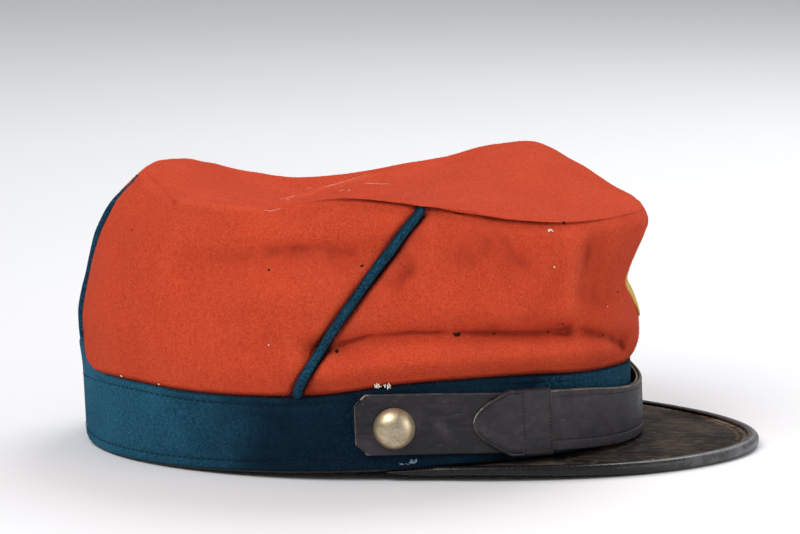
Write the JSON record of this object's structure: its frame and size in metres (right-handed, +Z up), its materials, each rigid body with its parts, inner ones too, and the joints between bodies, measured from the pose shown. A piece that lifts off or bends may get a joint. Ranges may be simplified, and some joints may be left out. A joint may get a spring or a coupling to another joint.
{
  "type": "kepi cap",
  "caption": "Slumped cloth kepi cap with a contrasting band and piping, a flat leather visor, a leather chin strap across the front and domed side buttons.",
  "frame": {"origin": "on the floor under the middle of the cap's footprint, the cap standing by itself", "axes": "+X to the front, where the visor is; +Y to the wearer's left; +Z up"},
  "size_m": [0.2514, 0.1738, 0.1037],
  "materials": {
    "band": "milled wool cloth, dark blue",
    "sweatband": "thin black leather",
    "crown_front": "milled wool cloth, madder red",
    "crown_back_right": "milled wool cloth, madder red",
    "crown_back_left": "milled wool cloth, madder red",
    "crown_top": "milled wool cloth, madder red",
    "piping_right": "rolled wool cloth, dark blue",
    "piping_left": "rolled wool cloth, dark blue",
    "piping_back": "rolled wool cloth, dark blue",
    "front_badge": "yellow wool cloth",
    "visor": "worn black leather",
    "visor_binding": "black leather, polished by wear",
    "strap_right": "black leather",
    "strap_left": "black leather",
    "strap_loop_right": "black leather, stitched",
    "strap_loop_left": "black leather, stitched",
    "strap_tongue_right": "black leather, stitched",
    "strap_tongue_left": "black leather, stitched",
    "button_right": "tarnished brass",
    "button_left": "tarnished brass"
  },
  "bodies": {
    "root": {"band": "band", "sweatband": "sweatband", "crown_front": "crown_front", "crown_back_right": "crown_back_right", "crown_back_left": "crown_back_left", "crown_top": "crown_top", "piping_right": "piping_right", "piping_left": "piping_left", "piping_back": "piping_back", "front_badge": "front_badge", "visor": "visor", "visor_binding": "visor_binding", "strap_right": "strap_right", "strap_left": "strap_left", "strap_loop_right": "strap_loop_right", "strap_loop_left": "strap_loop_left", "strap_tongue_right": "strap_tongue_right", "strap_tongue_left": "strap_tongue_left", "button_right": "button_right", "button_left": "button_left"}
  },
  "joints": []
}
